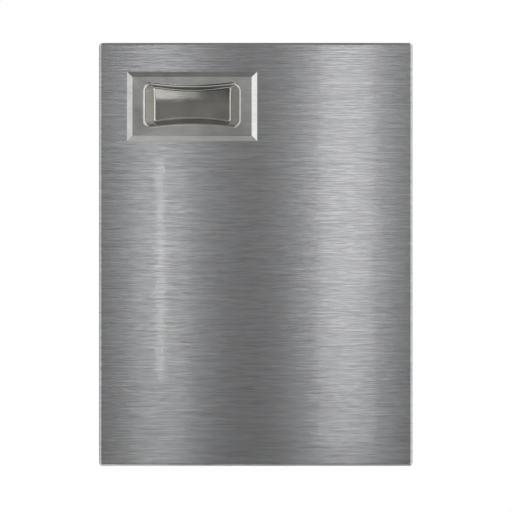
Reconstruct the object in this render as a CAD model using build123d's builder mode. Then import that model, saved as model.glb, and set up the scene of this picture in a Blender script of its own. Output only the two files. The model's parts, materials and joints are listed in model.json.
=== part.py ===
"""Sheet-metal grill cabinet door: folded front panel, screwed liner, recessed pull and two hidden hinges.

Millimetres. The plane y = 0 is the face of the cabinet, and the door stands out from it towards -y.
The origin is the middle of the four hinge screws on that face. +z is up and +x is the hinge side.
A distance out from the cabinet face is called a standoff, and Plane.XZ.offset(standoff) lies there.
"""
import os
from math import atan, atan2, cos, pi, radians, sin, sqrt, tan

from build123d import *

os.makedirs("parts", exist_ok=True)

# Door leaf
door_width = 356.0
door_height = 480.0
door_depth = 22.0
face_gap = 4.0
skin = 1.0
edge_radius = 3.0
corner_extra = 1.0
return_radius = 2.0
return_width = 16.0

# Liner that closes the back of the door
liner_sheet = 0.8
liner_margin = 3.0
field_margin = 25.0
field_hinge_margin = 70.0
field_depth = 2.0
field_corner = 10.0
field_slope = 45.0

# Recessed pull
pull_width = 147.5
pull_height = 78.5
pull_side_inset = 32.0
pull_top_inset = 33.0
pull_sheet = 1.0
bevel_width = 6.2
bevel_height = 3.0
ridge_radius = 0.8
cup_side_flange = 20.1
cup_end_flange = 15.0
cup_sag = 4.15
cup_depth = 17.0
cup_rise = 0.8
cup_corner = 6.5
cup_floor_corner = 4.0
cup_side_run = 10.0
cup_top_run = 0.5
cup_bottom_run = 6.0
cup_rim_radius = 3.2
cup_floor_radius = 3.0
cup_curl_start = 4.0
cup_curl_radius = 150.0
cutout_clearance = 1.0
cutout_corner = 6.0
gasket_margin = 0.4
backing_sheet = 1.5
backing_inset = 4.0

# Weld studs and nuts
stud_diameter = 4.0
stud_clearance = 0.25
stud_past_nut = 1.5
pull_stud_edge = 5.5
pull_stud_end = 11.0
nut_across_flats = 7.0
nut_height = 3.2
washer_diameter = 9.0
washer_sheet = 0.8

# Hinges
axis_from_side = 10.0
axis_from_front = 9.0
hinge_end_inset = 75.0
screw_columns = 20.0
screw_hole = 5.5
screw_head = 9.0
screw_head_angle = 90.0
screw_lift = 12.0
arm_sheet = 3.0
arm_bend_inside = 1.0
arm_straight = 6.0
leaf_width = 32.0
leaf_height = 24.0
leaf_corner = 4.0
leaf_to_axis = 26.0
boss_clearance = 2.0
ear_inside_boss = 0.5
bracket_sheet = 2.0
bracket_bend_inside = 1.0
bracket_corner = 3.0
bracket_setback = 10.0
bracket_stud_inset = 9.0
bracket_stud_drop = 11.0
window_width = 56.0
window_above = 9.0
window_below = 42.0
window_clearance = 2.0
arm_slot = 6.0
arm_slot_past_axis = 3.0

# Pivot pins, bushes and release spring
pin_diameter = 6.0
pin_clearance = 0.05
bush_wall = 1.4
bush_flange = 1.0
bush_flange_width = 2.0
bush_fit = 0.02
turn_gap = 0.2
pin_proud = 1.5
pin_chamfer = 0.6
clip_sheet = 1.0
clip_gap = 0.6
clip_width = 2.6
clip_groove = 0.6
clip_mouth = 4.0
clip_fit = 0.05
spring_length = 20.0
spring_wire = 0.9
spring_turns = 5
spring_clearance = 0.75
spring_seat_gap = 0.1
spring_end_bend = 1.5
lever_reach = 28.0
lever_bend = 6.0
lever_gap = 0.4
lever_end_radius = 1.5
pin_head_width = 2.0
pin_head = 2.0
pin_tail = 1.8

# Stiffener behind the front sheet
stiffener_sheet = 1.0
stiffener_crown = 18.0
stiffener_flange = 10.0
stiffener_slope = 2.0
stiffener_bend = 2.0
stiffener_gap = 0.3
stiffener_end_gap = 3.0

# Strike, bumpers and liner screws
strike_width = 14.0
strike_length = 48.0
strike_sheet = 1.5
strike_edge = 11.0
strike_corner = 2.0
strike_screw = 3.5
strike_screw_spacing = 32.0
strike_screw_length = 9.0
bumper_diameter = 12.0
bumper_edge = 10.0
bumper_end_inset = 25.0
bumper_stem = 5.8
bumper_barb = 7.4
bumper_barb_length = 3.2
bumper_crown = 1.5
liner_screw = 3.9
liner_screw_head = 7.5
liner_screw_head_height = 1.8
liner_screw_length = 7.0
liner_screw_end_inset = 30.0
liner_screw_columns = 4
screw_clearance = 0.05

# Standoffs of the sheets
front = face_gap + door_depth
skin_back = front - skin
pan_back = face_gap + liner_sheet
return_front = pan_back + skin
field_front = face_gap + liner_sheet + field_depth
corner_radius = edge_radius + corner_extra

# Places across the door
axis_x = leaf_to_axis
axis_standoff = front - axis_from_front
axis_y = -axis_standoff
door_right = axis_x + axis_from_side
door_left = door_right - door_width
door_mid_x = door_right - door_width / 2
door_top = door_height / 2
window_left = door_right - window_width

# Heights of the hinge arms, and of what turns on them
screw_row = door_top - hinge_end_inset
upper_arm_z = screw_row - screw_lift
lower_arm_z = -screw_row - screw_lift
arm_heights = {"upper": upper_arm_z, "lower": lower_arm_z}
arm_boss = axis_from_side - skin - boss_clearance
ear_boss = arm_boss - ear_inside_boss
pin_radius = pin_diameter / 2
pin_bore = pin_radius + pin_clearance
bush_radius = pin_bore + bush_wall
bush_flange_radius = bush_radius + bush_flange_width
upper_ear_bottom = arm_sheet / 2 + bush_flange + turn_gap
upper_ear_top = upper_ear_bottom + bracket_sheet
release_clip_top = -arm_sheet / 2 - clip_gap
release_clip_bottom = release_clip_top - clip_sheet
lower_ear_top = release_clip_bottom - spring_length
lower_ear_bottom = lower_ear_top - bracket_sheet
clip_radius = pin_radius + clip_width
groove_radius = pin_radius - clip_groove
lever_drop = lower_ear_bottom - lever_gap - lever_bend
spring_radius = pin_radius + spring_clearance + spring_wire / 2

# The door-side bracket and its studs
bracket_left = window_left + window_clearance
bracket_right = axis_x - bracket_setback
bracket_front = skin_back
bracket_web_back = skin_back - bracket_sheet
bracket_ear_back = axis_standoff - ear_boss
bracket_stud_columns = (bracket_left + bracket_stud_inset, bracket_right - bracket_stud_inset)
bracket_stud_spots = [
    (x, arm_z - bracket_stud_drop) for arm_z in arm_heights.values() for x in bracket_stud_columns
]

# The pull and its studs
pull_x = door_left + pull_side_inset + pull_width / 2
pull_z = door_top - pull_top_inset - pull_height / 2
pull_right = pull_x + pull_width / 2
pull_front = front + bevel_height
pull_back = pull_front - pull_sheet
cup_width = pull_width - 2 * cup_side_flange
cup_height = pull_height - 2 * cup_end_flange
cutout_width = cup_width + 2 * (pull_sheet + cutout_clearance)
cutout_height = cup_height + 2 * (pull_sheet + cutout_clearance)
pull_stud_column = pull_width / 2 - bevel_width - pull_stud_edge
pull_stud_rise = pull_height / 2 - bevel_width - pull_stud_end
pull_stud_spots = [
    (pull_x + side * pull_stud_column, pull_z + level * pull_stud_rise)
    for side in (-1, 1) for level in (-1, 1)
]
backing_back = skin_back - backing_sheet
washer_back = backing_back - washer_sheet
stud_hole_radius = stud_diameter / 2 + stud_clearance

# Screws, strike and bumpers on the return flanges
window_spans = [(z - window_below, z + window_above) for z in arm_heights.values()]
liner_screw_inset = return_width / 2
liner_screw_pitch = (door_width - 2 * liner_screw_end_inset) / (liner_screw_columns - 1)
side_screw_room = window_spans[0][0] - window_spans[1][1]
side_screw_mid = window_spans[1][1] + side_screw_room / 2
end_screw_spots = [
    (door_left + liner_screw_end_inset + i * liner_screw_pitch, end * (door_top - liner_screw_inset))
    for i in range(liner_screw_columns) for end in (-1, 1)
]
side_screw_spots = [
    (x, side_screw_mid + level * side_screw_room / 4)
    for x in (door_left + liner_screw_inset, door_right - liner_screw_inset) for level in (-1, 1)
]
liner_screw_spots = end_screw_spots + side_screw_spots
strike_x = door_left + strike_edge
strike_z = pull_z
strike_screw_spots = [(strike_x, strike_z + level * strike_screw_spacing / 2) for level in (-1, 1)]
strike_screw_radius = strike_screw / 2
strike_head_radius = strike_screw_radius + strike_sheet
bumper_x = door_left + bumper_edge
bumper_heights = {"upper": door_top - bumper_end_inset, "lower": -door_top + bumper_end_inset}
bumper_spots = [(bumper_x, z) for z in bumper_heights.values()]
stiffener_x = (pull_right + window_left) / 2


def folded_block(shrink):
    """Solid block with the door's folded edges, drawn in on every side by shrink."""
    with BuildPart() as block:
        with BuildSketch(Plane.XZ.offset(pan_back + shrink)):
            with Locations((door_mid_x, 0)):
                RectangleRounded(door_width - 2 * shrink, door_height - 2 * shrink, corner_radius - shrink)
        extrude(amount=front - pan_back - 2 * shrink)
        fillet(block.faces().sort_by(Axis.Y)[0].edges(), edge_radius - shrink)
        fillet(block.faces().sort_by(Axis.Y)[-1].edges(), return_radius - shrink)
    return block.part


# Front panel: one sheet folded back on four sides, with a return flange that carries the liner
with BuildPart() as front_panel:
    add(folded_block(0))
    add(folded_block(skin), mode=Mode.SUBTRACT)
    with BuildSketch(Plane.XZ.offset(pan_back)):
        with Locations((door_mid_x, 0)):
            Rectangle(door_width - 2 * return_width, door_height - 2 * return_width)
    extrude(amount=skin, mode=Mode.SUBTRACT)
    with BuildSketch(Plane.XZ.offset(pan_back)):
        for low, high in window_spans:
            with Locations((window_left, (low + high) / 2)):
                Rectangle(window_width, high - low, align=(Align.MIN, Align.CENTER))
    extrude(amount=return_radius, mode=Mode.SUBTRACT)
    slot_end = axis_standoff + arm_slot_past_axis - arm_slot / 2
    with BuildSketch(Plane.YZ.offset(door_right - skin)):
        for arm_z in arm_heights.values():
            with Locations((-(pan_back + slot_end) / 2, arm_z)):
                Rectangle(slot_end - pan_back, arm_slot)
            with Locations((-slot_end, arm_z)):
                Circle(arm_slot / 2)
    extrude(amount=skin, mode=Mode.SUBTRACT)
    with BuildSketch(Plane.XZ.offset(skin_back)):
        with Locations((pull_x, pull_z + cup_rise)):
            RectangleRounded(cutout_width, cutout_height, cutout_corner)
        with Locations(*pull_stud_spots):
            Circle(stud_hole_radius)
    extrude(amount=skin, mode=Mode.SUBTRACT)
    with BuildSketch(Plane.XZ.offset(pan_back)):
        with Locations(*liner_screw_spots):
            Circle(liner_screw / 2 + screw_clearance)
        with Locations(*strike_screw_spots):
            Circle(strike_screw_radius + screw_clearance)
        with Locations(*bumper_spots):
            Circle(bumper_stem / 2 + screw_clearance)
    extrude(amount=skin, mode=Mode.SUBTRACT)
front_panel.part.label = "front_panel"
export_step(front_panel.part, "parts/front_panel.step")

# Liner: flat round its edge, with a shallow pressed field and open round each hinge
field_width = door_width - field_margin - field_hinge_margin
field_height = door_height - 2 * field_margin
field_mid_x = door_left + field_margin + field_width / 2
field_growth = liner_sheet * tan(radians(90 - field_slope) / 2)
with BuildPart() as back_liner:
    with BuildSketch(Plane.XZ.offset(face_gap)):
        with Locations((door_mid_x, 0)):
            RectangleRounded(door_width - 2 * liner_margin, door_height - 2 * liner_margin, corner_radius)
    extrude(amount=liner_sheet)
    with BuildSketch(Plane.XZ.offset(pan_back)):
        with Locations((field_mid_x, 0)):
            RectangleRounded(field_width + 2 * field_growth, field_height + 2 * field_growth, field_corner)
    extrude(amount=field_depth, taper=field_slope)
    with BuildSketch(Plane.XZ.offset(face_gap)):
        with Locations((field_mid_x, 0)):
            RectangleRounded(field_width, field_height, field_corner - field_growth)
    extrude(amount=field_depth, taper=field_slope, mode=Mode.SUBTRACT)
    with BuildSketch(Plane.XZ.offset(face_gap)):
        for low, high in window_spans:
            with Locations((window_left, (low + high) / 2)):
                Rectangle(window_width, high - low, align=(Align.MIN, Align.CENTER))
        with Locations(*liner_screw_spots):
            Circle(liner_screw / 2 + screw_clearance)
        with Locations(*strike_screw_spots):
            Circle(strike_screw_radius + screw_clearance)
        with Locations(*bumper_spots):
            Circle(bumper_stem / 2 + screw_clearance)
    extrude(amount=liner_sheet, mode=Mode.SUBTRACT)
back_liner.part.label = "back_liner"
export_step(back_liner.part, "parts/back_liner.step")

# Stiffener: a hat section bonded to the back of the front sheet, from near the top to near the bottom
crown_y = -(field_front + stiffener_gap + stiffener_sheet)
foot_y = -skin_back
crown_half = stiffener_crown / 2
foot_half = crown_half + stiffener_slope
stiffener_length = door_height - 2 * (return_width + stiffener_end_gap)
with BuildPart() as stiffener_channel:
    with BuildSketch(Plane.XY.offset(-stiffener_length / 2)):
        with BuildLine():
            FilletPolyline(
                (stiffener_x - foot_half - stiffener_flange, foot_y),
                (stiffener_x - foot_half, foot_y),
                (stiffener_x - crown_half, crown_y),
                (stiffener_x + crown_half, crown_y),
                (stiffener_x + foot_half, foot_y),
                (stiffener_x + foot_half + stiffener_flange, foot_y),
                radius=stiffener_bend,
            )
            offset(amount=stiffener_sheet, side=Side.LEFT)
        make_face()
    extrude(amount=stiffener_length)
stiffener_channel.part.label = "stiffener_channel"
export_step(stiffener_channel.part, "parts/stiffener_channel.step")


def hourglass(standoff, half_width, top, bottom, corner):
    """Cup outline at a standoff: straight ends, with an upper and a lower edge that sag inwards."""
    plane = Plane.XZ.offset(standoff).shift_origin((pull_x, -standoff, pull_z + cup_rise))
    with BuildSketch(plane) as outline:
        with BuildLine():
            Line((half_width, bottom), (half_width, top))
            ThreePointArc((half_width, top), (0, top - cup_sag), (-half_width, top))
            Line((-half_width, top), (-half_width, bottom))
            ThreePointArc((-half_width, bottom), (0, bottom + cup_sag), (half_width, bottom))
        make_face()
        fillet(outline.vertices(), corner)
    return outline.sketch


def cup_block(mouth, sheet):
    """Solid of the finger cup from its mouth's standoff to its floor, grown all round by a sheet.

    The floor curls forward in its upper part, to meet the fingertips.
    """
    growth = {run: sheet * tan((pi / 2 - atan(run / cup_depth)) / 2)
              for run in (cup_side_run, cup_top_run, cup_bottom_run)}
    half_width = cup_width / 2 + growth[cup_side_run]
    top = cup_height / 2 + growth[cup_top_run]
    bottom = -cup_height / 2 - growth[cup_bottom_run]
    floor = mouth - cup_depth
    curl_radius = cup_curl_radius + sheet
    curl_foot = pull_z + cup_rise + cup_curl_start
    curl_height = top - cup_curl_start + sheet + cup_top_run
    curl_standoff = floor + curl_radius - sqrt(curl_radius ** 2 - curl_height ** 2)
    with BuildPart() as block:
        loft(sections=[
            hourglass(mouth, half_width, top, bottom, cup_corner + growth[cup_side_run]),
            hourglass(floor, half_width - cup_side_run, top - cup_top_run, bottom + cup_bottom_run,
                      cup_floor_corner + growth[cup_side_run]),
        ])
        with BuildSketch(Plane.YZ.offset(pull_x)):
            with BuildLine():
                RadiusArc((-floor, curl_foot), (-curl_standoff, curl_foot + curl_height), -curl_radius)
                Line((-curl_standoff, curl_foot + curl_height), (-floor, curl_foot + curl_height))
                Line((-floor, curl_foot + curl_height), (-floor, curl_foot))
            make_face()
        extrude(amount=half_width, both=True, mode=Mode.SUBTRACT)
        floor_faces = block.faces().filter_by(GeomType.PLANE).sort_by(Axis.Y)[-1:]
        floor_faces += block.faces().filter_by(GeomType.CYLINDER)
        seam = block.edges().filter_by(Axis.X).sort_by(Axis.Y)[-1]
        fillet(floor_faces.edges() - [seam], cup_floor_radius + sheet)
    return block.part


def trapezium(base, half):
    """Section through the bevelled flange, from a standoff outwards, across twice the half given."""
    with BuildSketch() as section:
        with BuildLine():
            Polyline(
                (-half, -base),
                (half, -base),
                (half - bevel_width, -base - bevel_height),
                (bevel_width - half, -base - bevel_height),
                close=True,
            )
        make_face()
    return section.sketch


def bevelled_plate(base):
    """Solid flange with mitred bevels that rises from a standoff: two crossed prisms."""
    level_plane = Plane((pull_x, 0, pull_z))
    upright_plane = Plane((pull_x, 0, pull_z), x_dir=(0, 0, -1), z_dir=(1, 0, 0))
    with BuildPart() as plate:
        extrude(level_plane * trapezium(base, pull_width / 2), amount=pull_height / 2, both=True)
        extrude(
            upright_plane * trapezium(base, pull_height / 2),
            amount=pull_width / 2,
            both=True,
            mode=Mode.INTERSECT,
        )
    return plate.part


# Pull: one pressed sheet with a bevelled flange on the front and a cup that passes through the door
with BuildPart() as handle_pull:
    add(bevelled_plate(front))
    add(bevelled_plate(front - pull_sheet), mode=Mode.SUBTRACT)
    fillet(handle_pull.faces().sort_by(Axis.Y)[0].edges(), ridge_radius)
    add(cup_block(pull_back, pull_sheet))
    back_rim = handle_pull.edges().filter_by(
        lambda edge: abs(edge.center().Y + pull_back) < 0.01
        and abs(edge.center().X - pull_x) < cup_width / 2 + pull_sheet
        and abs(edge.center().Z - pull_z) < cup_height / 2 + pull_sheet + cup_rise
    )
    fillet(back_rim, cup_rim_radius - pull_sheet)
    add(cup_block(pull_front, 0), mode=Mode.SUBTRACT)
    front_rim = handle_pull.faces().sort_by(Axis.Y)[0].inner_wires()[0].edges()
    fillet(front_rim, cup_rim_radius)
handle_pull.part.label = "handle_pull"
export_step(handle_pull.part, "parts/handle_pull.step")

# Gasket: fills the hollow under the flange, round the cut-out
with BuildPart() as handle_gasket:
    with BuildSketch(Plane.XZ.offset(front)):
        with Locations((pull_x, pull_z)):
            Rectangle(
                pull_width - 2 * (bevel_width + gasket_margin),
                pull_height - 2 * (bevel_width + gasket_margin),
            )
        with Locations((pull_x, pull_z + cup_rise)):
            RectangleRounded(
                cutout_width + 2 * cup_rim_radius,
                cutout_height + 2 * cup_rim_radius,
                cutout_corner + cup_rim_radius,
                mode=Mode.SUBTRACT,
            )
        with Locations(*pull_stud_spots):
            Circle(stud_hole_radius, mode=Mode.SUBTRACT)
    extrude(amount=pull_back - front)
handle_gasket.part.label = "handle_gasket"
export_step(handle_gasket.part, "parts/handle_gasket.step")

# Backing frame: spreads the pull of the nuts behind the front sheet
with BuildPart() as handle_backing_frame:
    with BuildSketch(Plane.XZ.offset(backing_back)):
        with Locations((pull_x, pull_z)):
            RectangleRounded(pull_width - 2 * backing_inset, pull_height - 2 * backing_inset, cutout_corner)
        with Locations((pull_x, pull_z + cup_rise)):
            RectangleRounded(cutout_width, cutout_height, cutout_corner, mode=Mode.SUBTRACT)
        with Locations(*pull_stud_spots):
            Circle(stud_hole_radius, mode=Mode.SUBTRACT)
    extrude(amount=backing_sheet)
handle_backing_frame.part.label = "handle_backing_frame"
export_step(handle_backing_frame.part, "parts/handle_backing_frame.step")


def stud_group(spots, head, nut_face):
    """Weld studs that grow from the standoff of their head back through the nuts on nut_face."""
    tail = nut_face - nut_height - stud_past_nut
    with BuildPart() as studs:
        with BuildSketch(Plane.XZ.offset(tail)):
            with Locations(*spots):
                Circle(stud_diameter / 2)
        extrude(amount=head - tail)
    return studs.part


def nut_group(spots, nut_face):
    """Hexagon nuts whose outer faces lie at the standoff nut_face."""
    with BuildPart() as nuts:
        with BuildSketch(Plane.XZ.offset(nut_face - nut_height)):
            with Locations(*spots):
                RegularPolygon(nut_across_flats / 2, 6, major_radius=False)
                Circle(stud_diameter / 2 + screw_clearance, mode=Mode.SUBTRACT)
        extrude(amount=nut_height)
    return nuts.part


# Studs on the back of the pull's flange, with a washer and a nut on each
with BuildPart() as handle_studs:
    add(stud_group(pull_stud_spots, pull_back, washer_back))
handle_studs.part.label = "handle_studs"
export_step(handle_studs.part, "parts/handle_studs.step")

with BuildPart() as handle_washers:
    with BuildSketch(Plane.XZ.offset(washer_back)):
        with Locations(*pull_stud_spots):
            Circle(washer_diameter / 2)
            Circle(stud_hole_radius, mode=Mode.SUBTRACT)
    extrude(amount=washer_sheet)
handle_washers.part.label = "handle_washers"
export_step(handle_washers.part, "parts/handle_washers.step")

with BuildPart() as handle_nuts:
    add(nut_group(pull_stud_spots, washer_back))
handle_nuts.part.label = "handle_nuts"
export_step(handle_nuts.part, "parts/handle_nuts.step")

# Studs on the back of the front sheet that hold the hinge brackets, with their nuts
with BuildPart() as hinge_studs:
    add(stud_group(bracket_stud_spots, skin_back, bracket_web_back))
hinge_studs.part.label = "hinge_studs"
export_step(hinge_studs.part, "parts/hinge_studs.step")

with BuildPart() as hinge_nuts:
    add(nut_group(bracket_stud_spots, bracket_web_back))
hinge_nuts.part.label = "hinge_nuts"
export_step(hinge_nuts.part, "parts/hinge_nuts.step")

# Cabinet-side arms: a screwed leaf on the cabinet face, bent out into an arm that ends in the pivot
arm_bend_outside = arm_sheet + arm_bend_inside
leaf_bottom = -arm_sheet / 2
for place, arm_z in arm_heights.items():
    with BuildPart() as hinge_arm:
        with BuildSketch(Plane.XY.offset(arm_z - arm_sheet / 2)):
            with Locations((axis_x, axis_y)):
                Circle(arm_boss)
            with Locations((0, -arm_straight)):
                Rectangle(leaf_width, arm_sheet, align=(Align.CENTER, Align.MIN))
            make_hull()
            Rectangle(leaf_width, arm_straight, align=(Align.CENTER, Align.MAX))
        extrude(amount=arm_sheet)
        with BuildSketch(Plane.XZ):
            with Locations((0, arm_z + leaf_bottom)):
                Rectangle(leaf_width, leaf_height, align=(Align.CENTER, Align.MIN))
        extrude(amount=arm_sheet)
        corner_edges = hinge_arm.edges().filter_by(Axis.X)
        fillet(corner_edges.group_by(Axis.Z)[0].sort_by(Axis.Y)[-1], arm_bend_outside)
        inner_bend = hinge_arm.edges().filter_by(Axis.X).filter_by_position(
            Axis.Z, arm_z + arm_sheet / 2 - 0.01, arm_z + arm_sheet / 2 + 0.01
        )
        fillet(inner_bend, arm_bend_inside)
        fillet(hinge_arm.edges().filter_by(Axis.Y).group_by(Axis.Z)[-1], leaf_corner)
        with Locations((axis_x, axis_y, arm_z + arm_sheet / 2)):
            Hole(bush_radius + bush_fit)
        with Locations(Plane.XZ.offset(arm_sheet)):
            with Locations((0, arm_z + screw_lift)):
                with GridLocations(screw_columns, 1, 2, 1):
                    CounterSinkHole(screw_hole / 2, screw_head / 2, counter_sink_angle=screw_head_angle)
    hinge_arm.part.label = f"{place}_hinge_arm"
    export_step(hinge_arm.part, f"parts/{place}_hinge_arm.step")

    # Plastic bush pressed into the arm, with its flange under the bracket's ear
    with BuildPart() as hinge_bush:
        with BuildSketch(Plane.XY.offset(arm_z - arm_sheet / 2)):
            with Locations((axis_x, axis_y)):
                Circle(bush_radius)
        extrude(amount=arm_sheet)
        with BuildSketch(Plane.XY.offset(arm_z + arm_sheet / 2)):
            with Locations((axis_x, axis_y)):
                Circle(bush_flange_radius)
        extrude(amount=bush_flange)
        with Locations((axis_x, axis_y, arm_z + arm_sheet / 2 + bush_flange)):
            Hole(pin_bore)
    hinge_bush.part.label = f"{place}_hinge_bush"
    export_step(hinge_bush.part, f"parts/{place}_hinge_bush.step")

    # Door-side bracket: a bent channel on the front sheet whose two ears hold the pivot pin
    with BuildPart() as hinge_bracket:
        ear_mid = arm_z + (upper_ear_top + lower_ear_bottom) / 2
        bend_outside = bracket_sheet + bracket_bend_inside
        with BuildSketch(Plane.YZ.offset(bracket_left)) as channel:
            with Locations((-bracket_front, ear_mid)):
                Rectangle(
                    bracket_front - bracket_ear_back, upper_ear_top - lower_ear_bottom,
                    align=(Align.MIN, Align.CENTER),
                )
            fillet(channel.vertices().group_by(Axis.Y)[0], bend_outside)
            with BuildSketch(mode=Mode.PRIVATE) as hollow:
                with Locations((-bracket_web_back, ear_mid)):
                    Rectangle(
                        bracket_web_back - bracket_ear_back, upper_ear_bottom - lower_ear_top,
                        align=(Align.MIN, Align.CENTER),
                    )
                fillet(hollow.vertices().group_by(Axis.X)[0], bracket_bend_inside)
            add(hollow.sketch, mode=Mode.SUBTRACT)
        extrude(amount=bracket_right - bracket_left)
        for ear_bottom in (upper_ear_bottom, lower_ear_bottom):
            with BuildSketch(Plane.XY.offset(arm_z + ear_bottom)):
                with Locations((axis_x, axis_y)):
                    Circle(ear_boss)
                with Locations((bracket_right, -bracket_ear_back)):
                    Rectangle(
                        bracket_corner, bracket_front - bend_outside - bracket_ear_back,
                        align=(Align.MAX, Align.MAX),
                    )
                make_hull()
            extrude(amount=bracket_sheet)
        back_left = hinge_bracket.edges().filter_by(Axis.Z).group_by(Axis.X)[0].group_by(Axis.Y)[-1]
        fillet(back_left, bracket_corner)
        with Locations((axis_x, axis_y, arm_z + upper_ear_top)):
            Hole(pin_bore)
        with BuildSketch(Plane.XZ.offset(bracket_web_back)):
            with Locations(*[spot for spot in bracket_stud_spots if spot[1] == arm_z - bracket_stud_drop]):
                Circle(stud_hole_radius)
        extrude(amount=bracket_sheet, mode=Mode.SUBTRACT)
    hinge_bracket.part.label = f"{place}_hinge_bracket"
    export_step(hinge_bracket.part, f"parts/{place}_hinge_bracket.step")


def retaining_clip(bottom, name):
    """Open ring that snaps into a pin's groove, with its mouth towards the back of the door."""
    with BuildPart() as clip:
        with BuildSketch(Plane.XY.offset(bottom)):
            with Locations((axis_x, axis_y)):
                Circle(clip_radius)
                Circle(groove_radius + clip_fit, mode=Mode.SUBTRACT)
                Rectangle(clip_mouth, clip_radius, align=(Align.CENTER, Align.MIN), mode=Mode.SUBTRACT)
        extrude(amount=clip_sheet)
    clip.part.label = name
    export_step(clip.part, f"parts/{name}.step")


def cut_groove(bottom):
    """Sketch of the ring that a clip's groove takes out of a pin."""
    with BuildSketch(Plane.XY.offset(bottom)) as ring:
        with Locations((axis_x, axis_y)):
            Circle(pin_diameter)
            Circle(groove_radius, mode=Mode.SUBTRACT)
    return ring.sketch


# Release pin: a bent rod, pushed up through the upper arm by its spring and drawn down by its lever
release_top = upper_arm_z + upper_ear_top + pin_proud
lever_z = upper_arm_z + lever_drop
with BuildPart() as release_pin:
    with BuildLine():
        FilletPolyline(
            (axis_x, axis_y, release_top),
            (axis_x, axis_y, lever_z),
            (axis_x - lever_reach, axis_y, lever_z),
            radius=lever_bend,
        )
    with BuildSketch(Plane((axis_x, axis_y, release_top), z_dir=(0, 0, -1))):
        Circle(pin_radius)
    sweep()
    chamfer(release_pin.edges().sort_by(Axis.Z)[-1], pin_chamfer)
    fillet(release_pin.faces().sort_by(Axis.X)[0].edges(), lever_end_radius)
    extrude(
        cut_groove(upper_arm_z + release_clip_bottom), amount=clip_sheet, dir=(0, 0, 1), mode=Mode.SUBTRACT
    )
release_pin.part.label = "release_pin"
export_step(release_pin.part, "parts/release_pin.step")
retaining_clip(upper_arm_z + release_clip_bottom, "release_clip")

# Lower pin: a headed pin through both ears and the lower arm, kept in by a clip
lower_clip_bottom = lower_arm_z + lower_ear_bottom - clip_gap - clip_sheet
with BuildPart() as lower_pin:
    with BuildSketch(Plane.XY.offset(lower_clip_bottom - pin_tail)):
        with Locations((axis_x, axis_y)):
            Circle(pin_radius)
    extrude(amount=lower_arm_z + upper_ear_top - lower_clip_bottom + pin_tail)
    with BuildSketch(Plane.XY.offset(lower_arm_z + upper_ear_top)):
        with Locations((axis_x, axis_y)):
            Circle(pin_radius + pin_head_width)
    extrude(amount=pin_head)
    chamfer(lower_pin.edges().group_by(Axis.Z)[0], pin_chamfer)
    fillet(lower_pin.edges().group_by(Axis.Z)[-1], pin_chamfer)
    extrude(cut_groove(lower_clip_bottom), amount=clip_sheet, dir=(0, 0, 1), mode=Mode.SUBTRACT)
lower_pin.part.label = "lower_pin"
export_step(lower_pin.part, "parts/lower_pin.step")
retaining_clip(lower_clip_bottom, "lower_clip")


def biarc(start, start_way, end, end_way):
    """Two arcs that leave start along start_way, meet smoothly and reach end along end_way."""
    span = end - start
    ways = start_way + end_way
    bend = 2 * (1 - start_way.dot(end_way))
    reach = (sqrt(span.dot(ways) ** 2 + bend * span.dot(span)) - span.dot(ways)) / bend
    start_handle = start + start_way * reach
    end_handle = end - end_way * reach
    middle = (start_handle + end_handle) / 2
    TangentArc(start, middle, tangent=start_way)
    TangentArc(middle, end, tangent=end_handle - start_handle)


# Release spring: one wire wound round the pin, with a straight end that stands on the ear and on the clip
spring_foot = upper_arm_z + lower_ear_top + spring_seat_gap
spring_head = upper_arm_z + release_clip_bottom - spring_seat_gap
coil_foot = spring_foot + spring_wire + spring_end_bend
coil_rise = spring_head - spring_wire - spring_end_bend - coil_foot
coil_lead = atan2(coil_rise, 2 * pi * spring_radius * spring_turns)
half_turns = 2 * spring_turns


def coil_point(half):
    """Point on the wire's middle line after a number of half turns."""
    angle = half * pi
    height = coil_foot + coil_rise * half / half_turns
    return Vector(axis_x + spring_radius * cos(angle), axis_y + spring_radius * sin(angle), height)


def coil_way(half):
    """Direction of the wire after a number of half turns."""
    angle = half * pi
    flat = cos(coil_lead)
    return Vector(-sin(angle) * flat, cos(angle) * flat, sin(coil_lead))


def end_offset(way):
    """Step from a spring end's straight run to the coil, round a bend of spring_end_bend."""
    level = Vector(way.X, way.Y, 0).normalized()
    return level * (spring_end_bend * (1 - sin(coil_lead))) + Vector(0, 0, spring_end_bend * cos(coil_lead))


upright = Vector(0, 0, 1)
with BuildPart() as release_spring:
    with BuildLine() as wire_path:
        foot_bend = coil_point(0) - end_offset(coil_way(0))
        head_bend = coil_point(half_turns) + end_offset(coil_way(half_turns))
        Line((foot_bend.X, foot_bend.Y, spring_foot), foot_bend)
        TangentArc(foot_bend, coil_point(0), tangent=upright)
        for half in range(half_turns):
            biarc(coil_point(half), coil_way(half), coil_point(half + 1), coil_way(half + 1))
        TangentArc(coil_point(half_turns), head_bend, tangent=coil_way(half_turns))
        Line(head_bend, (head_bend.X, head_bend.Y, spring_head))
    with BuildSketch(Plane((foot_bend.X, foot_bend.Y, spring_foot), z_dir=(0, 0, 1))):
        Circle(spring_wire / 2)
    sweep()
release_spring.part.label = "release_spring"
export_step(release_spring.part, "parts/release_spring.step")

# The least gap between the spring's turns, measured on points along the wire
points_per_turn = 48
wire_line = wire_path.wire()
point_count = points_per_turn * (spring_turns + 1)
wire_points = [wire_line.position_at(i / point_count) for i in range(point_count + 1)]
least_gap = min(
    (wire_points[i] - wire_points[j]).length - spring_wire
    for i in range(len(wire_points)) for j in range(i + points_per_turn // 2, len(wire_points))
)
print(f"release_spring least gap to itself {least_gap:.2f} mm")
print(f"release_spring volume {release_spring.part.volume:.2f} mm3,"
      f" section times length {pi * spring_wire ** 2 / 4 * wire_line.length:.2f} mm3")

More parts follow.
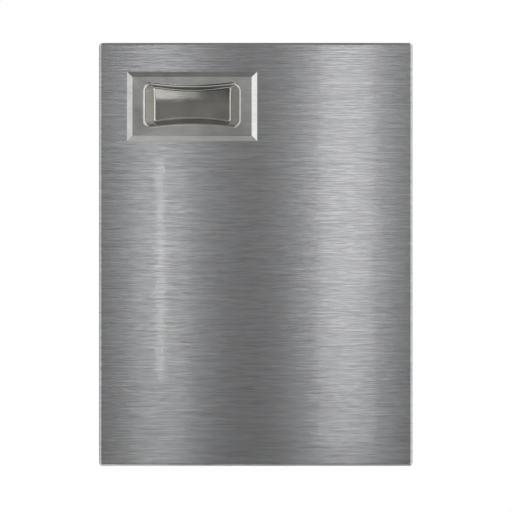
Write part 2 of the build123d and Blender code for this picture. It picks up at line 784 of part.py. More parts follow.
# Strike plate for a magnetic catch on the cabinet, countersunk for two screws
with BuildPart() as strike_plate:
    with BuildSketch(Plane.XZ.offset(face_gap - strike_sheet)):
        with Locations((strike_x, strike_z)):
            RectangleRounded(strike_width, strike_length, strike_corner)
    extrude(amount=strike_sheet)
    for spot in strike_screw_spots:
        with BuildSketch(Plane.XZ.offset(face_gap - strike_sheet)):
            with Locations(spot):
                Circle(strike_head_radius + screw_clearance)
        with BuildSketch(Plane.XZ.offset(face_gap)):
            with Locations(spot):
                Circle(strike_screw_radius + screw_clearance)
        loft(mode=Mode.SUBTRACT)
strike_plate.part.label = "strike_plate"
export_step(strike_plate.part, "parts/strike_plate.step")

with BuildPart() as strike_screws:
    for spot in strike_screw_spots:
        with BuildSketch(Plane.XZ.offset(face_gap - strike_sheet)):
            with Locations(spot):
                Circle(strike_head_radius)
        with BuildSketch(Plane.XZ.offset(face_gap)):
            with Locations(spot):
                Circle(strike_screw_radius)
        loft()
    with BuildSketch(Plane.XZ.offset(face_gap)):
        with Locations(*strike_screw_spots):
            Circle(strike_screw_radius)
    extrude(amount=strike_screw_length - strike_sheet)
strike_screws.part.label = "strike_screws"
export_step(strike_screws.part, "parts/strike_screws.step")

# Push-in rubber bumpers: a crowned head on the cabinet face, and a stem with a barb behind the flange
for place, bumper_z in bumper_heights.items():
    with BuildPart() as bumper:
        with BuildSketch(Plane.XZ):
            with Locations((bumper_x, bumper_z)):
                Circle(bumper_diameter / 2)
        extrude(amount=face_gap)
        fillet(bumper.edges().sort_by(Axis.Y)[-1], bumper_crown)
        with BuildSketch(Plane.XZ.offset(face_gap)):
            with Locations((bumper_x, bumper_z)):
                Circle(bumper_stem / 2)
        extrude(amount=return_front - face_gap)
        with BuildSketch(Plane.XZ.offset(return_front)):
            with Locations((bumper_x, bumper_z)):
                Circle(bumper_barb / 2)
        with BuildSketch(Plane.XZ.offset(return_front + bumper_barb_length)):
            with Locations((bumper_x, bumper_z)):
                Circle(bumper_stem / 3)
        loft()
    bumper.part.label = f"{place}_bumper"
    export_step(bumper.part, f"parts/{place}_bumper.step")

# Pan-head screws that hold the liner to the return flanges
with BuildPart() as liner_screws:
    with BuildSketch(Plane.XZ.offset(face_gap - liner_screw_head_height)):
        with Locations(*liner_screw_spots):
            Circle(liner_screw_head / 2)
    extrude(amount=liner_screw_head_height)
    chamfer(liner_screws.edges().group_by(Axis.Y)[-1], liner_screw_head_height / 2)
    with BuildSketch(Plane.XZ.offset(face_gap)):
        with Locations(*liner_screw_spots):
            Circle(liner_screw / 2)
    extrude(amount=liner_screw_length)
liner_screws.part.label = "liner_screws"
export_step(liner_screws.part, "parts/liner_screws.step")
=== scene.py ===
"""Finishes, studio and camera for a brushed sheet-metal grill cabinet door with a recessed pull.

Metres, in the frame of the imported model: the cabinet's face is y = 0 and the door's front looks along -y.
"""
import json
from math import atan, cos, pi, sin

import bmesh
import bpy
from mathutils import Matrix, Vector


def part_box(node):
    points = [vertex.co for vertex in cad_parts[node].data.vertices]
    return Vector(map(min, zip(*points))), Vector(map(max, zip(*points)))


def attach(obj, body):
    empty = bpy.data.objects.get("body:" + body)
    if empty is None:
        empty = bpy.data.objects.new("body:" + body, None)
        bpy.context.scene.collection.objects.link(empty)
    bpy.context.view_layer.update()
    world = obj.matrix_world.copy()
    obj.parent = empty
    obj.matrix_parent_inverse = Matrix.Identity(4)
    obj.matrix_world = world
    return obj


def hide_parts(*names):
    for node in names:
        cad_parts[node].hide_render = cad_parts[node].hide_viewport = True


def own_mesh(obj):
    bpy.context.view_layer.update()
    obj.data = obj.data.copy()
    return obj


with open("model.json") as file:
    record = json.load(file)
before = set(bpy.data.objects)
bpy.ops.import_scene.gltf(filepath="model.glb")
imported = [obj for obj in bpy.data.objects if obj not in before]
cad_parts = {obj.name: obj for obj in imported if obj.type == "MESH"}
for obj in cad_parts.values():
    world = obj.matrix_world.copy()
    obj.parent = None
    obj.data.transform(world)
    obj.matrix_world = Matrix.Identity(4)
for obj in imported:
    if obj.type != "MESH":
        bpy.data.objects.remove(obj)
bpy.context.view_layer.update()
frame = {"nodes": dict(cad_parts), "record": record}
nodes = frame["nodes"]

MM = 0.001

# Points nearer than this are one point, in a mesh as made and in one that was cut
WELD = 0.001 * MM
WELD_AFTER_CUT = 0.005 * MM

panel_low, panel_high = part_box("front_panel")
front_y = panel_low.y
pull_front_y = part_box("handle_pull")[0].y
door_middle = (panel_low + panel_high) / 2


class NodeTree:
    """A node tree whose values are laid out in one space, with short ways to add and join nodes."""

    def __init__(self, tree, space):
        self.tree = tree
        self.places = self.node("ShaderNodeTexCoord")
        self.space = self.places.outputs[space]

    def node(self, kind, **settings):
        made = self.tree.nodes.new(kind)
        for name, value in settings.items():
            setattr(made, name, value)
        return made

    def link(self, source, target):
        self.tree.links.new(source, target)

    def along(self, axis):
        """Place along one axis of the space."""
        made = self.node("ShaderNodeSeparateXYZ")
        self.link(self.space, made.inputs["Vector"])
        return made.outputs[axis]

    def math(self, operation, first, second):
        """Two values put together by an arithmetic operation."""
        made = self.node("ShaderNodeMath", operation=operation)
        self.link(first, made.inputs[0])
        self.link(second, made.inputs[1])
        return made.outputs["Value"]

    def spread(self, value, limits, low, high, curve="LINEAR"):
        """What goes from one level to another as a value passes two limits. A level may be a value too."""
        made = self.node("ShaderNodeMapRange", interpolation_type=curve)
        self.link(value, made.inputs["Value"])
        for socket, level in zip(("From Min", "From Max", "To Min", "To Max"), (*limits, low, high)):
            if isinstance(level, bpy.types.NodeSocket):
                self.link(level, made.inputs[socket])
            else:
                made.inputs[socket].default_value = level
        return made.outputs["Result"]


class Finish(NodeTree):
    """A principled material laid out in the object's own space, in metres."""

    def __init__(self, name, **sockets):
        self.material = bpy.data.materials.new(name)
        self.material.use_nodes = True
        super().__init__(self.material.node_tree, "Object")
        self.shader = self.tree.nodes["Principled BSDF"]
        for socket, value in sockets.items():
            self.shader.inputs[socket.replace("_", " ")].default_value = value

    def stretched(self, scale):
        """The object's space, with each axis multiplied: features per metre."""
        mapping = self.node("ShaderNodeMapping")
        mapping.inputs["Scale"].default_value = scale
        self.link(self.space, mapping.inputs["Vector"])
        return mapping.outputs["Vector"]

    def noise(self, scale, detail=2.0, rough=0.5):
        """Soft noise with that many features per metre along x, y and z."""
        made = self.node("ShaderNodeTexNoise")
        made.inputs["Scale"].default_value = 1.0
        made.inputs["Detail"].default_value = detail
        made.inputs["Roughness"].default_value = rough
        self.link(self.stretched(scale), made.inputs["Vector"])
        return made.outputs["Fac"]

    def even_noise(self, scale, detail=2.0, rough=0.5):
        """Soft noise that is the same along every axis."""
        return self.noise((scale, scale, scale), detail, rough)

    def cells(self, scale):
        """Crystals of one level each, with that many per metre."""
        made = self.node("ShaderNodeTexVoronoi")
        made.inputs["Scale"].default_value = 1.0
        self.link(self.stretched((scale, scale, scale)), made.inputs["Vector"])
        return made.outputs["Color"]

    def facing(self, way):
        """Cosine of the angle between the surface and a direction of the object's space."""
        made = self.node("ShaderNodeVectorMath", operation="DOT_PRODUCT")
        self.link(self.places.outputs["Normal"], made.inputs[0])
        made.inputs[1].default_value = way
        return made.outputs["Value"]

    def distance(self):
        """Distance from the origin of the object's space."""
        made = self.node("ShaderNodeVectorMath", operation="LENGTH")
        self.link(self.space, made.inputs[0])
        return made.outputs["Value"]

    def blend(self, first, second, share):
        """A weighted sum of two values."""
        made = self.node("ShaderNodeMix", data_type="FLOAT")
        made.inputs[0].default_value = share
        self.link(first, made.inputs[2])
        self.link(second, made.inputs[3])
        return made.outputs[0]

    def tinted(self, colour, tint, share):
        """A colour multiplied by a tint, as far as the share goes."""
        made = self.node("ShaderNodeMix", data_type="RGBA", blend_type="MULTIPLY")
        self.link(share, made.inputs[0])
        self.link(colour, made.inputs[6])
        made.inputs[7].default_value = (*tint, 1.0)
        return made.outputs[2]

    def colours(self, value, *stops):
        """Colour ramp: pairs of a place from 0 to 1 and a linear colour."""
        made = self.node("ShaderNodeValToRGB")
        ramp = made.color_ramp
        while len(ramp.elements) < len(stops):
            ramp.elements.new(0.5)
        for element, (place, colour) in zip(ramp.elements, stops):
            element.position = place
            element.color = (*colour, 1.0)
        self.link(value, made.inputs["Fac"])
        return made.outputs["Color"]

    def mixed(self, first, second, share):
        """Two shaders, the second as far as the share goes."""
        made = self.node("ShaderNodeMixShader")
        self.link(share, made.inputs["Fac"])
        self.link(first, made.inputs[1])
        self.link(second, made.inputs[2])
        return made.outputs["Shader"]

    def paint(self, socket, value):
        self.link(value, self.shader.inputs[socket])

    def bump(self, height, depth, strength):
        """Relief of a depth in metres, on top of any that the material has already."""
        made = self.node("ShaderNodeBump")
        made.inputs["Strength"].default_value = strength
        made.inputs["Distance"].default_value = depth
        self.link(height, made.inputs["Height"])
        normal = self.shader.inputs["Normal"]
        if normal.is_linked:
            self.link(normal.links[0].from_socket, made.inputs["Normal"])
        self.link(made.outputs["Normal"], normal)


def grey(level, tint=(1.0, 1.0, 1.0)):
    """A linear colour of one level, with a slight tint."""
    return tuple(level * t for t in tint)


# The stretch that most of a noise's values, or of the crystals' levels, fall in
NOISE_SPAN = (0.3, 0.7)
CRYSTAL_SPAN = (0.2, 0.8)

COOL = (0.985, 0.992, 1.012)
WARM = (1.0, 1.0, 0.98)

# The pull's finish by depth behind its front: the cup is a little warmer, and its level floor is darkened by
# painted shade
CUP_WALLS = (pull_front_y + 3 * MM, pull_front_y + 10 * MM)
CUP_FLOOR = (pull_front_y + 12 * MM, pull_front_y + 15 * MM)
LEVEL_FACING = (0.98, 0.996)
CUP_TINT = (1.0, 0.985, 0.945)
CUP_FLOOR_SHADE = 0.60


def brushed_front():
    """Stainless sheet ground along x: long fine streaks, and a highlight that spreads up and down."""
    finish = Finish("brushed_front", Metallic=1.0, Anisotropic=0.95, Anisotropic_Rotation=0.25,
                    Coat_Roughness=0.04)
    long_streaks = finish.noise((24.0, 24.0, 1500.0), detail=3.0, rough=0.6)
    fine_streaks = finish.noise((90.0, 90.0, 2300.0))
    streaks = finish.blend(long_streaks, fine_streaks, 0.5)
    finish.paint("Base Color", finish.colours(
        streaks, (0.25, grey(0.27, COOL)), (0.5, grey(0.485, COOL)), (0.75, grey(0.70, COOL))))
    finish.paint("Roughness", finish.spread(streaks, NOISE_SPAN, 0.26, 0.243))
    finish.paint("Coat Weight", finish.spread(streaks, NOISE_SPAN, 0.30, 0.54))
    waviness = finish.noise((3.0, 3.0, 2.2), detail=1.0)
    finish.bump(waviness, depth=0.6 * MM, strength=0.25)
    finish.paint("Coat Normal", finish.shader.inputs["Normal"].links[0].from_socket)
    finish.bump(streaks, depth=0.04 * MM, strength=0.35)
    return finish.material


def satin_pull():
    """Pressed stainless with a fine satin grain, a little warmer than the door, with painted shade on the
    cup's level floor.
    """
    finish = Finish("satin_pull", Metallic=1.0)
    grain = finish.noise((150.0, 150.0, 1200.0))
    patches = finish.even_noise(45.0, detail=3.0)
    worked = finish.blend(grain, patches, 0.6)
    sheet = finish.colours(
        worked, (0.25, grey(0.44, WARM)), (0.5, grey(0.53, WARM)), (0.75, grey(0.62, WARM)))
    in_cup = finish.spread(finish.along("Y"), CUP_WALLS, 0.0, 1.0)
    drawn = finish.tinted(sheet, CUP_TINT, in_cup)
    # Painted shade: where the cup is deep and its floor faces straight out, the colour is darkened to
    # CUP_FLOOR_SHADE
    deep = finish.spread(finish.along("Y"), CUP_FLOOR, 0.0, 1.0)
    level = finish.spread(finish.facing((0.0, -1.0, 0.0)), LEVEL_FACING, 0.0, 1.0)
    painted_shade_on_floor = finish.math("MULTIPLY", deep, level)
    finish.paint("Base Color", finish.tinted(drawn, grey(CUP_FLOOR_SHADE), painted_shade_on_floor))
    finish.paint("Roughness", finish.spread(worked, NOISE_SPAN, 0.10, 0.15))
    waviness = finish.even_noise(35.0, detail=1.0)
    finish.bump(waviness, depth=0.3 * MM, strength=0.3)
    return finish.material


def liner_steel():
    """Mill-finish sheet: soft, with faint rolling lines and cloudy patches."""
    finish = Finish("liner_steel", Metallic=1.0)
    rolled = finish.noise((900.0, 900.0, 14.0))
    cloud = finish.even_noise(9.0, detail=4.0, rough=0.6)
    worked = finish.blend(rolled, cloud, 0.6)
    finish.paint("Base Color", finish.colours(
        worked, (0.3, grey(0.46)), (0.5, grey(0.52)), (0.7, grey(0.57))))
    finish.paint("Roughness", finish.spread(worked, NOISE_SPAN, 0.30, 0.44))
    finish.bump(cloud, depth=0.3 * MM, strength=0.12)
    return finish.material


def zinc_steel():
    """Zinc-plated pressed steel: small crystals with a blue and straw cast."""
    finish = Finish("zinc_steel", Metallic=1.0)
    crystals = finish.cells(420.0)
    patches = finish.even_noise(60.0, detail=4.0, rough=0.65)
    worked = finish.blend(crystals, patches, 0.55)
    finish.paint("Base Color", finish.colours(
        worked, (0.25, (0.34, 0.345, 0.355)), (0.5, (0.43, 0.43, 0.42)), (0.75, (0.53, 0.51, 0.46))))
    finish.paint("Roughness", finish.spread(worked, CRYSTAL_SPAN, 0.28, 0.46))
    finish.bump(patches, depth=0.08 * MM, strength=0.4)
    return finish.material


def screw_steel():
    """Bright zinc on screws, nuts and washers."""
    finish = Finish("screw_steel", Metallic=1.0)
    patches = finish.even_noise(240.0, detail=4.0)
    finish.paint("Base Color", finish.colours(
        patches, (0.3, (0.50, 0.51, 0.53)), (0.55, (0.62, 0.62, 0.62)), (0.8, (0.68, 0.66, 0.60))))
    finish.paint("Roughness", finish.spread(patches, NOISE_SPAN, 0.22, 0.36))
    grain = finish.even_noise(2200.0, detail=1.0)
    finish.bump(grain, depth=0.01 * MM, strength=0.4)
    return finish.material


def turned_steel():
    """Pivot pins: fine rings left by turning."""
    finish = Finish("turned_steel", Metallic=1.0)
    rings = finish.noise((40.0, 40.0, 5200.0))
    handling = finish.even_noise(120.0, detail=3.0)
    worked = finish.blend(rings, handling, 0.4)
    finish.paint("Base Color", finish.colours(
        worked, (0.3, grey(0.50)), (0.5, grey(0.58)), (0.7, grey(0.64))))
    finish.paint("Roughness", finish.spread(worked, NOISE_SPAN, 0.18, 0.32))
    finish.bump(rings, depth=0.02 * MM, strength=0.4)
    return finish.material


def spring_wire():
    """Drawn spring wire, oiled and a little dark."""
    finish = Finish("spring_wire", Metallic=1.0)
    drawn = finish.even_noise(700.0, detail=3.0)
    finish.paint("Base Color", finish.colours(
        drawn, (0.3, (0.26, 0.26, 0.27)), (0.55, (0.36, 0.36, 0.36)), (0.8, (0.44, 0.43, 0.40))))
    finish.paint("Roughness", finish.spread(drawn, NOISE_SPAN, 0.22, 0.38))
    finish.bump(drawn, depth=0.02 * MM, strength=0.3)
    return finish.material


def spring_clip():
    """Phosphated retaining rings."""
    finish = Finish("spring_clip", Metallic=1.0)
    patches = finish.even_noise(600.0, detail=4.0)
    finish.paint("Base Color", finish.colours(
        patches, (0.3, (0.05, 0.05, 0.055)), (0.55, (0.09, 0.09, 0.095)), (0.8, (0.16, 0.155, 0.15))))
    finish.paint("Roughness", finish.spread(patches, NOISE_SPAN, 0.40, 0.62))
    finish.bump(patches, depth=0.02 * MM, strength=0.4)
    return finish.material


def white_nylon():
    """Moulded bushes."""
    finish = Finish("white_nylon", Subsurface_Weight=0.15, Subsurface_Scale=2 * MM, IOR=1.53)
    mottle = finish.even_noise(500.0, detail=3.0)
    finish.paint("Base Color", finish.colours(
        mottle, (0.3, (0.72, 0.71, 0.66)), (0.7, (0.80, 0.79, 0.75))))
    finish.paint("Roughness", finish.spread(mottle, NOISE_SPAN, 0.38, 0.52))
    finish.bump(mottle, depth=0.03 * MM, strength=0.4)
    return finish.material


def black_rubber():
    """Bumpers and gasket: dull, finely pitted, paler where it is dusty."""
    finish = Finish("black_rubber", IOR=1.5)
    pits = finish.even_noise(2600.0)
    dust = finish.even_noise(260.0, detail=4.0)
    worked = finish.blend(pits, dust, 0.6)
    finish.paint("Base Color", finish.colours(
        worked, (0.35, grey(0.012)), (0.55, grey(0.022)), (0.8, (0.050, 0.049, 0.047))))
    finish.paint("Roughness", finish.spread(worked, NOISE_SPAN, 0.62, 0.82))
    finish.bump(pits, depth=0.05 * MM, strength=0.5)
    return finish.material


finishes = {
    "brushed_front": brushed_front(),
    "satin_pull": satin_pull(),
    "liner_steel": liner_steel(),
    "zinc_steel": zinc_steel(),
    "screw_steel": screw_steel(),
    "turned_steel": turned_steel(),
    "spring_wire": spring_wire(),
    "spring_clip": spring_clip(),
    "white_nylon": white_nylon(),
    "black_rubber": black_rubber(),
}

for row in frame["record"]["subparts"]:
    mesh = nodes[row["node"]].data
    mesh.materials.clear()
    mesh.materials.append(finishes[row["material_slot"]])


def to_scene(thing):
    """The object, put in the scene."""
    bpy.context.scene.collection.objects.link(thing)
    return thing


def add_piece(name, mesh, slot, body, *replaced):
    """A piece of the visible door that stands for CAD nodes and moves with a body."""
    piece = to_scene(bpy.data.objects.new(name, mesh))
    mesh.materials.append(finishes[slot])
    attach(piece, body)
    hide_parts(*replaced)
    return piece


def finished_mesh(name, shape):
    """A mesh of a bmesh shape, which is freed."""
    mesh = bpy.data.meshes.new(name)
    shape.to_mesh(mesh)
    shape.free()
    return mesh


def welded(shape, nearness):
    """Join points that lie together, and drop the slivers that this leaves."""
    bmesh.ops.remove_doubles(shape, verts=shape.verts, dist=nearness)
    bmesh.ops.dissolve_degenerate(shape, edges=shape.edges, dist=nearness)


def smoothed(mesh, crease):
    """The mesh shaded smooth, apart from edges sharper than the crease angle."""
    mesh.shade_smooth()
    mesh.set_sharp_from_angle(angle=crease)
    return mesh


def solid_boxes(node):
    """Lowest and highest corner of each separate solid of a CAD node."""
    shape = bmesh.new()
    shape.from_mesh(nodes[node].data)
    bmesh.ops.remove_doubles(shape, verts=shape.verts, dist=WELD)
    remaining = set(shape.verts)
    boxes = []
    for start in shape.verts:
        if start not in remaining:
            continue
        remaining.discard(start)
        solid = [start]
        for vert in solid:
            for edge in vert.link_edges:
                other = edge.other_vert(vert)
                if other in remaining:
                    remaining.discard(other)
                    solid.append(other)
        corners = [[pick(vert.co[axis] for vert in solid) for axis in range(3)] for pick in (min, max)]
        boxes.append(tuple(Vector(corner) for corner in corners))
    shape.free()
    return boxes


def end_spots(node):
    """The middle of the rearmost end of each solid of a node."""
    return [Vector(((low.x + high.x) / 2, high.y, (low.z + high.z) / 2)) for low, high in solid_boxes(node)]


def turned(profile, steps):
    """Mesh round the y axis: profile gives, for an angle, a list of (radius, y) from end to end."""
    shape = bmesh.new()
    rows = []
    for step in range(steps):
        angle = 2 * pi * step / steps
        rows.append([shape.verts.new((r * cos(angle), y, r * sin(angle))) for r, y in profile(angle)])
    for row, following in zip(rows, rows[1:] + rows[:1]):
        for i in range(len(row) - 1):
            shape.faces.new((row[i], row[i + 1], following[i + 1], following[i]))
    welded(shape, WELD)
    bmesh.ops.recalc_face_normals(shape, faces=shape.faces)
    return finished_mesh("turned", shape)


# How much shorter and narrower the arms of a cross recess are at its floor
CROSS_FLOOR_LENGTH = 0.4
CROSS_FLOOR_WIDTH = 0.75


def cross_ring(shape, y, reach, width):
    """Points round a cross of a half length and a half width, at a height."""
    ring = []
    for quarter in range(4):
        turn = Matrix.Rotation(quarter * pi / 2, 3, "Y")
        for corner in ((reach, y, width), (reach, y, -width), (width, y, -width)):
            ring.append(shape.verts.new(turn @ Vector(corner)))
    return ring


def with_cross(mesh, reach, width, depth):
    """The mesh with a tapered cross recess sunk into its end at y = 0."""
    shape = bmesh.new()
    above = cross_ring(shape, depth / 2, reach, width)
    floor = cross_ring(shape, -depth, CROSS_FLOOR_LENGTH * reach, CROSS_FLOOR_WIDTH * width)
    shape.faces.new(above)
    shape.faces.new(floor)
    for i in range(len(above)):
        following = (i + 1) % len(above)
        shape.faces.new((above[i], above[following], floor[following], floor[i]))
    bmesh.ops.recalc_face_normals(shape, faces=shape.faces)
    head = to_scene(bpy.data.objects.new("head", mesh))
    cutter = to_scene(bpy.data.objects.new("cutter", finished_mesh("cross", shape)))
    cut = head.modifiers.new("recess", "BOOLEAN")
    cut.object = cutter
    cut.operation = "DIFFERENCE"
    result = bpy.data.meshes.new_from_object(head.evaluated_get(bpy.context.evaluated_depsgraph_get()))
    for made in (head, cutter):
        bpy.data.objects.remove(made)
    shape = bmesh.new()
    shape.from_mesh(result)
    welded(shape, WELD_AFTER_CUT)
    return finished_mesh("recessed", shape)


def add_fasteners(name, mesh, crease, node, turn_step=0.0):
    """A copy of the mesh at the rear end of each solid of a CAD node, each turned a step further about y."""
    shape = bmesh.new()
    for i, spot in enumerate(end_spots(node)):
        placed = mesh.copy()
        placed.transform(Matrix.Translation(spot) @ Matrix.Rotation(turn_step * i, 4, "Y"))
        shape.from_mesh(placed)
        bpy.data.meshes.remove(placed)
    add_piece(name, smoothed(finished_mesh(name, shape), crease), "screw_steel", "door", node)


def fixed(section):
    """A profile that is the same at every angle, from (radius, y) in millimetres."""
    in_metres = [(r * MM, y * MM) for r, y in section]
    return lambda angle: in_metres


# Angles in radians: the crease that stays sharp, and how much further each screw was driven than the last
SCREW_CREASE = 0.6
SCREW_TURN_STEP = 1.7
SCREW_SIDES = 40

# Pan-head screws round the liner: a domed head with a cross recess, and a pointed shank
PAN_DOME = [(0, 0), (0.9, -0.04), (1.8, -0.17), (2.6, -0.42), (3.2, -0.75), (3.6, -1.12)]
PAN_RIM = [(3.75, -1.5), (3.75, -1.8)]
PAN_SHANK = [(1.95, -1.8), (1.95, -7.4), (0.3, -8.8), (0, -8.8)]
pan_screw = with_cross(turned(fixed(PAN_DOME + PAN_RIM + PAN_SHANK), SCREW_SIDES),
                       reach=2.1 * MM, width=0.42 * MM, depth=1.1 * MM)
add_fasteners("liner_screw_heads", pan_screw, SCREW_CREASE, "liner_screws", SCREW_TURN_STEP)

# Countersunk screws of the strike
FLUSH_SCREW = [(0, 0), (3.1, 0), (3.25, -0.12), (1.75, -1.5), (1.75, -7.6), (0.3, -9.0), (0, -9.0)]
flush_screw = with_cross(turned(fixed(FLUSH_SCREW), SCREW_SIDES),
                         reach=1.9 * MM, width=0.4 * MM, depth=1.1 * MM)
add_fasteners("strike_screw_heads", flush_screw, SCREW_CREASE, "strike_screws", SCREW_TURN_STEP)

# Nuts of the hinge brackets, with rounded corners at both ends
NUT_FLATS = 7.0 * MM
NUT_HEIGHT = 3.2 * MM
NUT_BORE = 2.05 * MM
NUT_BORE_CHAMFER = 0.3 * MM
NUT_FACE_SHARE = 0.97
NUT_CHAMFER_SLOPE = 0.577
NUT_SIDES = 72
NUT_CREASE = 0.5


def nut_profile(angle):
    """Section of a hexagon nut at an angle, from the bore round the outside and back to the bore."""
    outside = NUT_FLATS / 2 / cos(angle % (pi / 3) - pi / 6)
    face = min(outside, NUT_FACE_SHARE * NUT_FLATS / 2)
    drop = (outside - face) * NUT_CHAMFER_SLOPE
    mouth = NUT_BORE + NUT_BORE_CHAMFER
    return [
        (NUT_BORE, -NUT_BORE_CHAMFER),
        (mouth, 0),
        (face, 0),
        (outside, -drop),
        (outside, drop - NUT_HEIGHT),
        (face, -NUT_HEIGHT),
        (mouth, -NUT_HEIGHT),
        (NUT_BORE, NUT_BORE_CHAMFER - NUT_HEIGHT),
        (NUT_BORE, -NUT_BORE_CHAMFER),
    ]


add_fasteners("hinge_nuts_chamfered", turned(nut_profile, NUT_SIDES), NUT_CREASE, "hinge_nuts")

# Studs under those nuts, threaded at the end that shows
STUD_RADIUS = 2.0 * MM
STUD_LENGTH = 6.7 * MM
STUD_CHAMFER = 0.5 * MM
STUD_SIDES = 32
STUD_CREASE = 0.9
THREAD_PITCH = 0.7 * MM
THREAD_DEPTH = 0.32 * MM
THREAD_RUN = 4.2 * MM
RINGS_PER_PITCH = 6


def stud_profile(angle):
    """Section of a stud at an angle: the thread climbs one pitch in each turn."""
    rings = int(THREAD_RUN / THREAD_PITCH * RINGS_PER_PITCH)
    section = [(0, 0)]
    for ring in range(rings + 1):
        down = THREAD_RUN * ring / rings
        turn = (down / THREAD_PITCH + angle / (2 * pi)) % 1.0
        crest = STUD_RADIUS - THREAD_DEPTH * abs(2 * turn - 1)
        section.append((min(crest, STUD_RADIUS - STUD_CHAMFER + down), -down))
    return section + [(STUD_RADIUS, -THREAD_RUN), (STUD_RADIUS, -STUD_LENGTH), (0, -STUD_LENGTH)]


add_fasteners("hinge_studs_threaded", turned(stud_profile, STUD_SIDES), STUD_CREASE, "hinge_studs")

# Release spring: a coil between two straight ends, which closes up as the pin is drawn down
SPRING_RADIUS = 4.2 * MM
SPRING_WIRE = 0.9 * MM
SPRING_TURNS = 5
SPRING_BEND = 1.5 * MM
STEPS_PER_TURN = 36
STEPS_PER_BEND = 9
WIRE_SIDES = 14
WIRE_CREASE = 1.0
spring_low, spring_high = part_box("release_spring")
spring_axis = Vector(((spring_low.x + spring_high.x) / 2, (spring_low.y + spring_high.y) / 2, 0))


def spring_line():
    """Points along the middle of the spring's wire, from its foot to its head."""
    foot = spring_low.z + SPRING_WIRE + SPRING_BEND
    rise = spring_high.z - SPRING_WIRE - SPRING_BEND - foot
    lead = atan(rise / (2 * pi * SPRING_RADIUS * SPRING_TURNS))
    line = []
    for step in range(SPRING_TURNS * STEPS_PER_TURN + 1):
        angle = 2 * pi * step / STEPS_PER_TURN
        height = foot + rise * step / (SPRING_TURNS * STEPS_PER_TURN)
        line.append(spring_axis + Vector((SPRING_RADIUS * cos(angle), SPRING_RADIUS * sin(angle), height)))
    end_run = []
    for step in range(STEPS_PER_BEND):
        bend = (pi / 2 - lead) * step / STEPS_PER_BEND
        aside = SPRING_BEND * (cos(bend) - sin(lead))
        up = SPRING_BEND * (sin(bend) - cos(lead))
        end_run.append(Vector((0, aside, up)))
    end_run = [Vector((0, end_run[0].y, spring_low.z - foot))] + end_run
    bottom = [line[0] + Vector((0, -step.y, step.z)) for step in end_run]
    top = [line[-1] - Vector((0, -step.y, step.z)) for step in reversed(end_run)]
    return bottom + line + top


def tube(name, line, radius, sides):
    """Round wire along a line of points, closed at both ends."""
    shape = bmesh.new()
    rows = []
    way = (line[1] - line[0]).normalized()
    side = way.orthogonal().normalized()
    angles = [2 * pi * k / sides for k in range(sides)]
    for i, point in enumerate(line):
        new_way = (line[min(i + 1, len(line) - 1)] - line[max(i - 1, 0)]).normalized()
        side = (way.rotation_difference(new_way) @ side).normalized()
        way = new_way
        other = way.cross(side)
        rows.append([shape.verts.new(point + radius * (cos(a) * side + sin(a) * other)) for a in angles])
    for row, following in zip(rows, rows[1:]):
        for k in range(sides):
            shape.faces.new((row[k], row[(k + 1) % sides], following[(k + 1) % sides], following[k]))
    shape.faces.new(list(reversed(rows[0])))
    shape.faces.new(rows[-1])
    return finished_mesh(name, shape)


coil = smoothed(tube("release_coil", spring_line(), SPRING_WIRE / 2, WIRE_SIDES), WIRE_CREASE)
spring = add_piece("release_coil", coil, "spring_wire", "door", "release_spring")
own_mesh(spring)

# The photograph's frame: the size of a pixel on the door's front, and the pixel at the door's middle
IMAGE_PIXELS = 512
PIXEL = 1.133 * MM
DOOR_MIDDLE_PIXEL = (255.85, 254.4)
CAMERA_DISTANCE = 2.4

# Turn of a camera or lamp that looks along y, with z up
LOOK_ALONG_Y = (pi / 2, 0, 0)

# Camera, straight in front of the door
aim_x = door_middle.x + (IMAGE_PIXELS / 2 - DOOR_MIDDLE_PIXEL[0]) * PIXEL
aim_z = door_middle.z + (DOOR_MIDDLE_PIXEL[1] - IMAGE_PIXELS / 2) * PIXEL
camera_y = front_y - CAMERA_DISTANCE
camera_data = bpy.data.cameras.new("camera")
camera_data.lens = camera_data.sensor_width * CAMERA_DISTANCE / (IMAGE_PIXELS * PIXEL)
camera = to_scene(bpy.data.objects.new("camera", camera_data))
camera.location = (aim_x, camera_y, aim_z)
camera.rotation_euler = LOOK_ALONG_Y
bpy.context.scene.camera = camera


def add_strip(name, across, z, width, height, level, ahead=0.0):
    """A rectangular lamp beside the camera that shines at the door as a white card of that radiance would."""
    data = bpy.data.lights.new(name, "AREA")
    data.shape = "RECTANGLE"
    data.size = width
    data.size_y = height
    data.energy = level * pi * width * height
    lamp = to_scene(bpy.data.objects.new(name, data))
    lamp.location = (aim_x + across, camera_y + ahead, z)
    lamp.rotation_euler = LOOK_ALONG_Y
    lamp.visible_camera = False


# Upright strips, which the brushed front shows as two soft bands, the left one with a thin bright core.
# The left strips leave out the height that the pull mirrors.
add_strip("left_broad_low", across=-0.216, z=-0.21, width=0.13, height=0.80, level=0.97)
add_strip("left_broad_high", across=-0.221, z=0.68, width=0.12, height=0.40, level=2.15)
add_strip("left_core", across=-0.216, z=-0.03, width=0.017, height=0.50, level=7.5, ahead=0.02)
add_strip("right_broad", across=0.205, z=0.12, width=0.125, height=1.1, level=2.35)

# Levels of the room, as radiance: 1 is white. Each side wall has a near part beside the camera, a far part
# and an end straight to the side, which the folded edges of the door mirror.
ROOM_ABOVE = 0.41
CEILING = 0.26
ROOM_BELOW = 0.01
BACK_WALL = 1.0
LEFT_NEAR = 1.1
LEFT_FAR = 1.05
LEFT_END = 0.15
RIGHT_NEAR = 1.15
RIGHT_FAR = 1.5
RIGHT_END = 0.4

# Where one part of the room passes into the next, along one axis of the direction that is looked in
HORIZON = (-0.07, 0.12)
CEILING_EDGE = (0.55, 0.72)
WALL_EDGE = (0.22, 0.34)
WALL_MIDDLE = (0.66, 0.74)
WALL_END = (0.92, 0.965)
BACK_WALL_EDGE = (0.55, 0.95)


def on_left(limits):
    """Limits on the right, mirrored to the left."""
    return -limits[1], -limits[0]


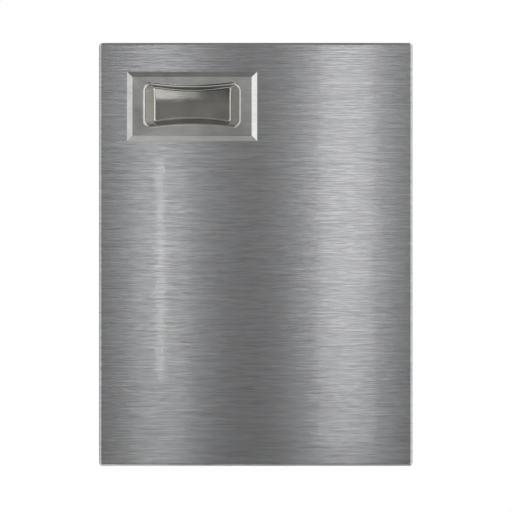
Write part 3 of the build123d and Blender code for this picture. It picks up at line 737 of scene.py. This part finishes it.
def set_world():
    """A grey room, dark below, with bright side walls and a white wall behind the door.

    The camera sees white all round.
    """
    world = bpy.data.worlds.new("studio")
    bpy.context.scene.world = world
    world.use_nodes = True
    studio = NodeTree(world.node_tree, "Generated")

    def zones(axis, limits, low, high):
        """Level that goes smoothly from one zone's to the next one's along an axis."""
        return studio.spread(studio.along(axis), limits, low, high, "SMOOTHSTEP")

    above = zones("Z", CEILING_EDGE, ROOM_ABOVE, CEILING)
    room = zones("Z", HORIZON, ROOM_BELOW, above)
    left_wall = zones("X", on_left(WALL_MIDDLE), LEFT_FAR, LEFT_NEAR)
    left = zones("X", on_left(WALL_END), LEFT_END, left_wall)
    right_wall = zones("X", WALL_MIDDLE, RIGHT_NEAR, RIGHT_FAR)
    right = zones("X", WALL_END, right_wall, RIGHT_END)
    with_left = zones("X", on_left(WALL_EDGE), left, room)
    with_right = zones("X", WALL_EDGE, with_left, right)
    walls = zones("Y", BACK_WALL_EDGE, with_right, BACK_WALL)
    rays = studio.node("ShaderNodeLightPath").outputs
    background = studio.tree.nodes["Background"]
    background.inputs["Color"].default_value = (1.0, 1.0, 1.0, 1.0)
    studio.link(studio.math("MAXIMUM", walls, rays["Is Camera Ray"]), background.inputs["Strength"])


set_world()

# The floor glows where the camera or a mirror sees it, more on the left than on the right
FLOOR_DROP = 0.80
FLOOR_RADIUS = 1.36
FLOOR_SIDES = 128
FLOOR_FADE = (0.7 * FLOOR_RADIUS, 0.98 * FLOOR_RADIUS)
FLOOR_GREY = 0.68
FLOOR_ROUGHNESS = 0.9
FLOOR_GLOW_LEFT = 1.0
FLOOR_GLOW_RIGHT = 0.15
FLOOR_GLOW_EDGE = (-0.17, -0.08)


def floor_finish():
    """Pale grey that glows where it is seen or mirrored, and fades to nothing towards its edge."""
    finish = Finish("floor", Base_Color=(*grey(FLOOR_GREY), 1.0), Roughness=FLOOR_ROUGHNESS)
    rays = finish.node("ShaderNodeLightPath").outputs
    mirrored = finish.math("MAXIMUM", rays["Is Glossy Ray"], rays["Is Transmission Ray"])
    seen = finish.math("MAXIMUM", rays["Is Camera Ray"], mirrored)
    tone = finish.spread(finish.along("X"), FLOOR_GLOW_EDGE, FLOOR_GLOW_LEFT, FLOOR_GLOW_RIGHT, "SMOOTHSTEP")
    glow = finish.node("ShaderNodeEmission").outputs["Emission"]
    clear = finish.node("ShaderNodeBsdfTransparent").outputs["BSDF"]
    lit = finish.mixed(finish.shader.outputs["BSDF"], glow, finish.math("MULTIPLY", seen, tone))
    fade = finish.spread(finish.distance(), FLOOR_FADE, 0.0, 1.0, "SMOOTHSTEP")
    finish.link(finish.mixed(lit, clear, fade), finish.tree.nodes["Material Output"].inputs["Surface"])
    return finish.material


def add_floor():
    """A round floor under the door. The pull's lower bevel mirrors it."""
    shape = bmesh.new()
    bmesh.ops.create_circle(shape, cap_ends=True, segments=FLOOR_SIDES, radius=FLOOR_RADIUS)
    mesh = finished_mesh("floor", shape)
    mesh.materials.append(floor_finish())
    floor = to_scene(bpy.data.objects.new("floor", mesh))
    floor.location = (door_middle.x, door_middle.y, panel_low.z - FLOOR_DROP)


add_floor()

bpy.context.scene.view_settings.view_transform = "Standard"
